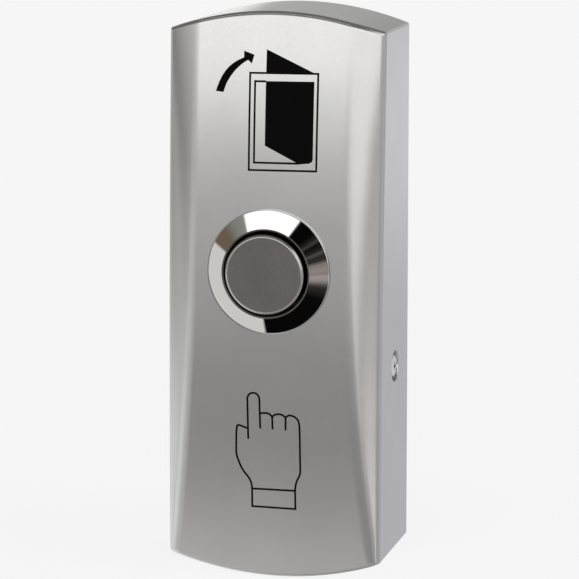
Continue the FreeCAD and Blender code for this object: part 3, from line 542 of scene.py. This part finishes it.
def rounded_path(points, radius, steps=6):
    """The path with its inner corners rounded."""
    points = [Vector(point) for point in points]
    path = []
    for i, corner in enumerate(points):
        if i in (0, len(points) - 1):
            path.append(corner)
            continue
        before, after = points[i - 1] - corner, points[i + 1] - corner
        reach = min(radius, before.length / CORNERS_TO_A_RUN, after.length / CORNERS_TO_A_RUN)
        start, end = corner + before.normalized() * reach, corner + after.normalized() * reach
        for step in range(steps + 1):
            t = step / steps
            path.append(start * (1 - t) ** 2 + corner * 2 * t * (1 - t) + end * t ** 2)
    return path


def arc(centre, radius, start, end, steps=12):
    """Points on a circle's arc, from one angle to another in degrees."""
    angles = [math.radians(start + (end - start) * step / steps) for step in range(steps + 1)]
    return [Vector((centre[0] + radius * math.cos(a), centre[1] + radius * math.sin(a))) for a in angles]


def line_shape(path, width, closed):
    """The points on the two sides of a drawn line, one on each side for each point of its path."""
    path = [Vector(point) for point in path]
    count = len(path)
    sides = ([], [])
    for i, point in enumerate(path):
        before = path[i - 1] if closed or i else None
        after = path[(i + 1) % count] if closed or i < count - 1 else None
        ends = [pair for pair in ((before, point), (point, after)) if None not in pair]
        runs = [(b - a).normalized() for a, b in ends]
        normals = [Vector((-run.y, run.x)) for run in runs]
        middle = sum(normals, Vector((0, 0))).normalized()
        reach = width / 2 / max(LEAST_MITRE, middle.dot(normals[0]))
        sides[0].append(point + middle * reach)
        sides[1].append(point - middle * reach)
    return sides


def ink_mesh(name, strokes, fills):
    """Lays drawn lines and filled shapes on the front as one thin layer of ink."""
    pieces = []
    for path, closed in strokes:
        left, right = line_shape(path, LINE_WIDTH, closed)
        work = bmesh.new()
        rows = [(work.verts.new((a.x, 0, a.y)), work.verts.new((b.x, 0, b.y)))
                for a, b in zip(left, right)]
        for i in range(len(rows) if closed else len(rows) - 1):
            (a, b), (c, d) = rows[i], rows[(i + 1) % len(rows)]
            work.faces.new((a, b, d, c))
        pieces.append(work)
    for outline in fills:
        work = bmesh.new()
        work.faces.new([work.verts.new((point[0], 0, point[1])) for point in outline])
        bmesh.ops.triangulate(work, faces=work.faces)
        pieces.append(work)
    whole = None
    for index, work in enumerate(pieces):
        sheet = work.faces[:]
        lifted = bmesh.ops.extrude_face_region(work, geom=sheet)["geom"]
        for vert in (part for part in lifted if isinstance(part, bmesh.types.BMVert)):
            vert.co.y = 1.0
        bmesh.ops.recalc_face_normals(work, faces=work.faces)
        mesh = bpy.data.meshes.new(f"{name}_{index}")
        work.to_mesh(mesh)
        work.free()
        piece = bpy.data.objects.new(f"{name}_{index}", mesh)
        bpy.context.scene.collection.objects.link(piece)
        if whole is None:
            whole = piece
        else:
            cut_or_join(whole, piece, "UNION")
    work = bmesh.new()
    work.from_mesh(whole.data)
    low = min(vert.co.z for vert in work.verts)
    high = max(vert.co.z for vert in work.verts)
    for step in range(1, int((high - low) / STRIP) + 1):
        geometry = work.verts[:] + work.edges[:] + work.faces[:]
        bmesh.ops.bisect_plane(work, geom=geometry, dist=CUT_NEAR, plane_co=(0, 0, low + step * STRIP),
                               plane_no=(0, 0, 1))
    for vert in work.verts:
        depth = float(front_depth(vert.co.x, vert.co.z)) + (INK_HEIGHT if vert.co.y < 0.5 else -INK_ROOT)
        vert.co = Vector((vert.co.x, -depth, vert.co.z)) * MM
    bmesh.ops.remove_doubles(work, verts=work.verts, dist=MERGED)
    bmesh.ops.triangulate(work, faces=[face for face in work.faces if len(face.verts) > 4])
    bmesh.ops.recalc_face_normals(work, faces=work.faces)
    work.to_mesh(whole.data)
    work.free()
    whole.name = name
    whole.data.materials.clear()
    whole.data.materials.append(black_print)
    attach(whole, "case")
    return whole


# The corners of the marks, in millimetres across and up the front.
OUTER_FRAME = [(-3.2, 32.72), (6.82, 32.83), (6.84, 19.04), (-3.12, 18.91)]
FRAME_CORNER = (-2.37, 19.99)
LEAF_ABOVE = [(-0.84, 36.11), (6.19, 32.94), (-0.84, 32.70)]
LEAF_INSIDE = [(-0.84, 31.60), (6.28, 31.70), (6.30, 20.75), (6.17, 20.33), (5.75, 20.10), (4.35, 19.97),
               (3.75, 20.23), (-0.80, 22.45)]
ARROW_HEAD = [(-3.57, 34.53), (-3.00, 34.04), (-2.66, 35.29), (-4.19, 35.83), (-3.82, 35.07)]
ARROW_OUTER = [(-4.31, 34.83), (-5.29, 34.34), (-6.28, 33.60), (-7.14, 32.55), (-7.80, 31.27),
               (-8.24, 30.02)]
ARROW_INNER = [(-7.11, 29.88), (-6.72, 31.03), (-6.08, 32.18), (-5.24, 33.23), (-4.31, 34.06)]


def flowing(points, steps=5):
    """Points along a smooth curve through the given ones, with some steps from each to the next."""
    points = [Vector(point) for point in points]
    points = [2 * points[0] - points[1]] + points + [2 * points[-1] - points[-2]]
    path = []
    for a, b, c, d in zip(points, points[1:], points[2:], points[3:]):
        for step in range(steps):
            t = step / steps
            path.append(0.5 * (2 * b + (c - a) * t + (2 * a - 5 * b + 4 * c - d) * t ** 2
                               + (3 * b - a - 3 * c + d) * t ** 3))
    return path + [points[-2]]


arrow = flowing([ARROW_HEAD[-1]] + ARROW_OUTER) + flowing(ARROW_INNER + [ARROW_HEAD[0]]) + ARROW_HEAD[1:-1]
inner_frame = [(-0.84, 31.57), (-2.44, 31.55), FRAME_CORNER, (4.4, 20.06)]
ink_mesh("door_mark", [(OUTER_FRAME, True), (inner_frame, False)], [LEAF_ABOVE, LEAF_INSIDE, arrow])

index_finger = ([(-3.22, -20.51)] + arc((-2.365, -14.46), 0.90, 180, 0) + [(-1.38, -18.85)])
thumb = rounded_path([(-3.24, -18.94), (-4.86, -18.40), (-5.0, -19.6)], 0.45)
thumb += flowing([(-5.06, -21.6), (-5.0, -23.1), (-4.22, -25.1), (-3.15, -26.55), (-2.82, -27.5)])
thumb += [(-2.79, -28.04), (-2.83, -30.75), (3.70, -30.77), (3.69, -27.98)]
fist = [(-1.43, -16.62)] + flowing([(-0.95, -16.49), (-0.30, -16.50), (0.15, -16.70), (0.43, -17.02)], 4)
second_knuckle = flowing([(0.43, -17.0), (0.85, -16.66), (1.44, -16.54), (2.0, -16.66), (2.44, -17.0)], 4)
last_knuckle = flowing([(2.44, -17.0), (2.78, -16.72), (3.18, -16.64), (3.85, -16.86), (4.32, -17.35),
                        (4.5, -18.09)], 4)
last_knuckle += rounded_path([(4.53, -19.5), (4.54, -25.40), (3.85, -26.72), (3.70, -27.98)], 0.6)
ink_mesh("hand_mark", [
    (index_finger, False), (thumb, False), (fist, False), ([(0.43, -16.9), (0.47, -18.87)], False),
    (second_knuckle, False), ([(2.44, -16.9), (2.42, -18.91)], False), (last_knuckle, False),
    ([(-2.79, -28.04), (3.69, -27.98)], False)], [])

# Button barrel
# Turned from brass, threaded, polished and chromed in one piece. Its conical bezel stands on the
# front, and its threaded barrel goes through the housing to the nut.

BARREL_RADIUS, THREAD_ROOT, THREAD_PITCH, ARC_MARGIN = 7.9, 7.45, 1.0, 0.03
RIDGE_RADIUS, RIDGE_FOOT, RIDGE_RISE = 0.43, -7.1, 6.0
BORE_SHADE_RADIUS, BORE_SHADE_FLOOR = 6.6, -5.2
polished_chrome = finish("polished_chrome", (0.83, 0.83, 0.825), 0.02, 1.0, grain=(1.5, 0.01), swing=0.015,
                         spread=0.008)


def eased(profile, radii, steps=5):
    """The profile with an arc at each corner that has a radius, and a point close to both of its ends."""
    points = [Vector(point) for point in profile]
    path = []
    for i, corner in enumerate(points):
        radius = radii.get(i, 0)
        if not radius:
            path.append(tuple(corner))
            continue
        before = (points[i - 1] - corner).normalized()
        after = (points[(i + 1) % len(points)] - corner).normalized()
        half_angle = before.angle(after) / 2
        reach = radius / math.tan(half_angle)
        centre = corner + (before + after).normalized() * radius / math.sin(half_angle)
        start, end = corner + before * reach - centre, corner + after * reach - centre
        turn_by = start.angle_signed(end)
        path.append(tuple(corner + before * (reach + ARC_MARGIN)))
        for step in range(steps + 1):
            a = -turn_by * step / steps
            spun = Vector((start.x * math.cos(a) - start.y * math.sin(a),
                           start.x * math.sin(a) + start.y * math.cos(a)))
            path.append(tuple(centre + spun))
        path.append(tuple(corner + after * (reach + ARC_MARGIN)))
    return path


bezel_profile = [
    (7.5, -8.0), (BARREL_RADIUS - 0.1, -7.7), (THREAD_ROOT, -7.45), (THREAD_ROOT, -0.75),
    (BARREL_RADIUS, -0.45), (BARREL_RADIUS, 0.35), (8.5, 0.35), (8.5, 0.0), (9.0, 0.0), BEZEL_FOOT,
    BEZEL_LIP, (6.25, 2.25), (6.25, -5.0), (3.05, -5.0), (3.05, -6.2), (6.6, -6.2), (6.6, -8.0)]
bezel_edges = {8: 0.05, 9: 0.10, 10: 0.08, 11: 0.05}       # which corners are rounded, and their radii
bezel = turned("bezel_barrel", eased(bezel_profile, bezel_edges), on_button, 256, polished_chrome)


def coil_tree():
    """Winds a wire on a cylinder. The same tree makes springs and the ridges of threads."""
    tree = bpy.data.node_groups.new("wound_wire", "GeometryNodeTree")
    sizes = (("Coil Radius", 4.0), ("Wire Radius", 0.25), ("Height", 5.0), ("Turns", 4.5))
    counts = (("Steps a Turn", 48), ("Wire Sides", 12))
    for given, kind in ((sizes, "NodeSocketFloat"), (counts, "NodeSocketInt")):
        for name, value in given:
            tree.interface.new_socket(name, in_out="INPUT", socket_type=kind).default_value = value
    tree.interface.new_socket("Finish", in_out="INPUT", socket_type="NodeSocketMaterial")
    tree.interface.new_socket("Geometry", in_out="OUTPUT", socket_type="NodeSocketGeometry")
    given = tree.nodes.new("NodeGroupInput").outputs
    line = add(tree, "GeometryNodeCurveSpiral", Resolution=given["Steps a Turn"], Rotations=given["Turns"],
               Start_Radius=given["Coil Radius"], End_Radius=given["Coil Radius"], Height=given["Height"])
    ring = add(tree, "GeometryNodeCurvePrimitiveCircle", Resolution=given["Wire Sides"],
               Radius=given["Wire Radius"])
    wire = add(tree, "GeometryNodeCurveToMesh", Curve=line.outputs[0], Profile_Curve=ring.outputs[0],
               Fill_Caps=True)
    real = add(tree, "GeometryNodeRealizeInstances", wire.outputs[0])
    done = add(tree, "GeometryNodeSetMaterial", Geometry=real.outputs[0], Material=given["Finish"])
    tree.links.new(done.outputs[0], tree.nodes.new("NodeGroupOutput").inputs[0])
    return tree


wound_wire = coil_tree()


def wound(name, material, **sizes):
    """A wire or thread ridge wound about its own axis, in millimetres, from level 0 up."""
    piece = bpy.data.objects.new(name, bpy.data.meshes.new(name))
    bpy.context.scene.collection.objects.link(piece)
    modifier = piece.modifiers.new("wound", "NODES")
    modifier.node_group = wound_wire
    sockets = {item.name: item.identifier for item in wound_wire.interface.items_tree
               if item.in_out == "INPUT"}
    for label, value in sizes.items():
        modifier[sockets[label.replace("_", " ")]] = value
    modifier[sockets["Finish"]] = material
    settle(piece)
    return piece


def moved(piece, to_frame, level):
    """Puts a wound piece on an axis of the frame."""
    points = np.zeros(len(piece.data.vertices) * 3)
    piece.data.vertices.foreach_get("co", points)
    points = points.reshape(-1, 3)
    points[:, 2] += level
    piece.data.vertices.foreach_set("co", (to_frame(points) * MM).ravel())
    work = bmesh.new()
    work.from_mesh(piece.data)
    bmesh.ops.recalc_face_normals(work, faces=work.faces)
    work.to_mesh(piece.data)
    work.free()
    return smooth(piece)


def joined(piece, other):
    """One mesh of two pieces that are the same real piece."""
    work = bmesh.new()
    work.from_mesh(piece.data)
    work.from_mesh(other.data)
    work.to_mesh(piece.data)
    work.free()
    bpy.data.objects.remove(other)
    return piece


def second_material(piece, material, belongs):
    """Gives the faces picked by radius and level about the button's axis another material: painted shade
    or highlight.
    """
    piece.data.materials.append(material)
    for face in piece.data.polygons:
        across, out, up = face.center / MM
        if belongs(math.hypot(across, up - BUTTON_HEIGHT), -out - SEAT_DEPTH):
            face.material_index = len(piece.data.materials) - 1


# The bore is rougher than the chrome, and its dark brown colour is painted shade inside the recess.
dull_bore_painted_shade = finish("dull_bore_painted_shade", (0.17, 0.15, 0.135), 0.40, 0.55, grain=(4.0, 0.8), swing=0.05)
second_material(bezel, dull_bore_painted_shade,
              lambda radius, level: radius < BORE_SHADE_RADIUS and level > BORE_SHADE_FLOOR)
thread = wound("barrel_thread", polished_chrome, Coil_Radius=THREAD_ROOT, Wire_Radius=RIDGE_RADIUS,
               Height=RIDGE_RISE, Turns=RIDGE_RISE / THREAD_PITCH, Steps_a_Turn=96, Wire_Sides=4)
joined(bezel, moved(thread, on_button, RIDGE_FOOT))
smooth(bezel, 25.0)
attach(bezel, "case")
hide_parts("button_barrel")

# Push button
# The cap is turned from stainless steel, satin on its face, with a rounded edge. It is pressed over the
# flange of a brass stem, which an open ring holds in the barrel.

CAP_TOP, CAP_RADIUS, CAP_EDGE = 3.15, 5.8, 0.42
CAP_BORE, CAP_FLOOR, CAP_FOOT, CAP_FOOT_EDGE = 4.9, 2.15, -2.35, 0.1
satin_steel = finish("satin_steel", (0.26, 0.25, 0.235), 0.24, 1.0, grain=(5.0, 0.5), swing=0.05,
                     cloud=0.25, second=(0.27, 0.245, 0.24))
# The rounded edge is smoother, polished, and its colour is lighter than the face's, a painted highlight.
polished_edge_painted_highlight = finish("polished_edge_painted_highlight", (0.47, 0.46, 0.445), 0.10, 1.0, grain=(3.0, 0.1), swing=0.02)
cap_profile = [(0, CAP_FLOOR), (CAP_BORE, CAP_FLOOR), (CAP_BORE, CAP_FOOT), (CAP_RADIUS, CAP_FOOT),
               (CAP_RADIUS, CAP_TOP), (0, CAP_TOP)]
cap_edges = {2: CAP_FOOT_EDGE, 3: CAP_FOOT_EDGE, 4: CAP_EDGE}
cap = turned("push_cap", eased(cap_profile, cap_edges, 8), on_button, 192, satin_steel)
second_material(cap, polished_edge_painted_highlight,
              lambda radius, level: radius > CAP_RADIUS - CAP_EDGE + 0.01 and level > CAP_TOP - CAP_EDGE)
smooth(cap)
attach(cap, "plunger")
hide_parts("plunger_cap")


def dress(material, *nodes):
    """Gives CAD pieces whose shape is right their finish."""
    for node in nodes:
        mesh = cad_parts[node].data
        mesh.materials.clear()
        mesh.materials.append(material)


turned_brass = finish("turned_brass", (0.72, 0.53, 0.26), 0.24, 1.0, grain=(2.0, 1.0), swing=0.06,
                      stretch=(1.0, 8.0, 1.0), second=(0.74, 0.50, 0.22))
spring_steel = finish("spring_steel", (0.45, 0.45, 0.46), 0.26, 1.0, grain=(4.0, 1.0), swing=0.08,
                      second=(0.40, 0.38, 0.36))
dress(turned_brass, "plunger_stem", "contact_bridge", "left_terminal", "right_terminal")
dress(spring_steel, "retaining_clip", "lock_washer")

# Springs
# Wound from round steel wire. The larger one stands on the barrel's web and pushes the cap out, and it
# shortens by the plunger's travel when the cap is pressed. The small one holds the contact bridge up. Both
# are built at one length.

SPRING_RADIUS, SPRING_WIRE, SPRING_LEVELS, TRAVEL = 3.9, 0.25, (-5.0, 0.9), 1.5
spring_rise = SPRING_LEVELS[1] - SPRING_LEVELS[0]
spring = wound("return_coil", spring_steel, Coil_Radius=SPRING_RADIUS, Wire_Radius=SPRING_WIRE,
               Height=spring_rise - 2 * SPRING_WIRE, Turns=4.5)
moved(spring, on_button, SPRING_LEVELS[0] + SPRING_WIRE)
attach(spring, "case")
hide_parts("return_spring")
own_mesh(spring)

CONTACT_SPRING_RADIUS, CONTACT_SPRING_WIRE, CONTACT_SPRING_LEVELS = 2.1, 0.15, (-10.1, -8.7)
contact_rise = CONTACT_SPRING_LEVELS[1] - CONTACT_SPRING_LEVELS[0]
contact_spring = wound("contact_coil", spring_steel, Coil_Radius=CONTACT_SPRING_RADIUS,
                       Wire_Radius=CONTACT_SPRING_WIRE, Height=contact_rise - 2 * CONTACT_SPRING_WIRE,
                       Turns=2.5)
moved(contact_spring, on_button, CONTACT_SPRING_LEVELS[0] + CONTACT_SPRING_WIRE)
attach(contact_spring, "plunger")
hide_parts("contact_spring")

# Screws and nut
# Bright plated steel. The lock screw's head, frosted and painted near white on its face as a highlight,
# stands in the hole of the right wall and is turned in to free the housing. The nut clamps the barrel from
# behind.

bright_steel = finish("bright_steel", (0.84, 0.84, 0.84), 0.11, 1.0, grain=(3.0, 0.2), swing=0.03)
dress(bright_steel, "hex_nut", "terminal_clamps", "terminal_screws")

SCREW_ROOT, SCREW_THREAD, SCREW_FLANGE, SCREW_HEAD, SCREW_PITCH = 1.25, 1.45, 2.05, 1.55, 0.7
SCREW_END, HEAD_SEAT, FLANGE_TOP, HEAD_RIM, HEAD_TOP = -6.5, -2.0, -1.6, -0.18, -0.03
CROSS_WIDTH, CROSS_LENGTH, CROSS_DEPTH = 0.32, 1.3, 0.9
SCREW_POINT, UNDER_HEAD, HEAD_SLOPE, FACE_MARGIN, FACING_OUT = 0.4, 0.4, 0.05, 0.05, 0.5
dome_radius = (SCREW_HEAD ** 2 + (HEAD_TOP - HEAD_RIM) ** 2) / (2 * (HEAD_TOP - HEAD_RIM))
dome = []
for share in (0.88, 0.75, 0.6, 0.45, 0.3, 0.15, 0):
    fall = dome_radius - math.sqrt(dome_radius ** 2 - (SCREW_HEAD * share) ** 2)
    dome.append((SCREW_HEAD * share, HEAD_TOP - fall))
screw_profile = [(0, SCREW_END), (SCREW_ROOT - 0.3, SCREW_END), (SCREW_ROOT, SCREW_END + SCREW_POINT),
                 (SCREW_ROOT, HEAD_SEAT), (SCREW_FLANGE, HEAD_SEAT), (SCREW_FLANGE, FLANGE_TOP),
                 (SCREW_HEAD, FLANGE_TOP + HEAD_SLOPE), (SCREW_HEAD, HEAD_RIM)] + dome
screw_edges = {4: 0.08, 5: 0.08, 7: 0.1}
screw = turned("cross_screw", eased(screw_profile, screw_edges), on_lock_axis, 72, bright_steel)
floor_across = HALF_WIDTH + HEAD_TOP - CROSS_DEPTH
for tall, wide in ((CROSS_LENGTH, CROSS_WIDTH), (CROSS_WIDTH, CROSS_LENGTH)):
    slot = block("slot", (floor_across, LOCK_DEPTH - wide / 2, LOCK_HEIGHT - tall / 2),
                 (HALF_WIDTH, LOCK_DEPTH + wide / 2, LOCK_HEIGHT + tall / 2))
    cut_or_join(screw, slot, "DIFFERENCE")
thread_rise = HEAD_SEAT - SCREW_END - SCREW_POINT - UNDER_HEAD
ridge = wound("lock_thread", bright_steel, Coil_Radius=SCREW_ROOT, Wire_Radius=SCREW_THREAD - SCREW_ROOT,
              Height=thread_rise, Turns=thread_rise / SCREW_PITCH, Steps_a_Turn=48, Wire_Sides=4)
joined(screw, moved(ridge, on_lock_axis, SCREW_END + SCREW_POINT))
screw.data.materials.clear()
screw.data.materials.append(bright_steel)
# The head's face is rougher, frosted, and near white, which is a painted highlight.
frosted_head_painted_highlight = finish("frosted_head_painted_highlight", (0.96, 0.96, 0.96), 0.36, 1.0, grain=(5.0, 0.6), swing=0.02)
screw.data.materials.append(frosted_head_painted_highlight)
for face in screw.data.polygons:
    if face.center.x / MM > HALF_WIDTH + HEAD_RIM - FACE_MARGIN and face.normal.x > FACING_OUT:
        face.material_index = 1
smooth(screw)
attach(screw, "case")
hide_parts("lock_screw")

# Wall plate
# Stamped from zinc plated sheet, with bent tabs for the catches and the lock screw, two wall slots and
# an opening for the cable.

zinc_plate = finish("zinc_plate", (0.59, 0.60, 0.61), 0.33, 1.0, grain=(1.5, 1.0), swing=0.02, cloud=0.25,
                    second=(0.61, 0.61, 0.59), stretch=(1.0, 1.0, 0.15))
dress(zinc_plate, "back_plate")

# Contact block
# Black moulded case and base, a white carrier that slides with the stem, and silver contacts.

black_plastic = finish("black_plastic", (0.035, 0.035, 0.036), 0.46, 0.0, grain=(5.0, 3.0), swing=0.15)
white_plastic = finish("white_plastic", (0.80, 0.79, 0.75), 0.42, 0.0, grain=(4.0, 2.0), swing=0.02)
black_rubber = finish("black_rubber", (0.028, 0.028, 0.028), 0.62, 0.0, grain=(6.0, 4.0), swing=0.2)
contact_silver = finish("contact_silver", (0.82, 0.82, 0.80), 0.28, 1.0, grain=(4.0, 1.0), swing=0.04)
dress(black_plastic, "contact_block", "contact_base")
dress(white_plastic, "contact_carrier")
dress(black_rubber, "head_seal")
dress(contact_silver, "bridge_contacts", "base_contacts")
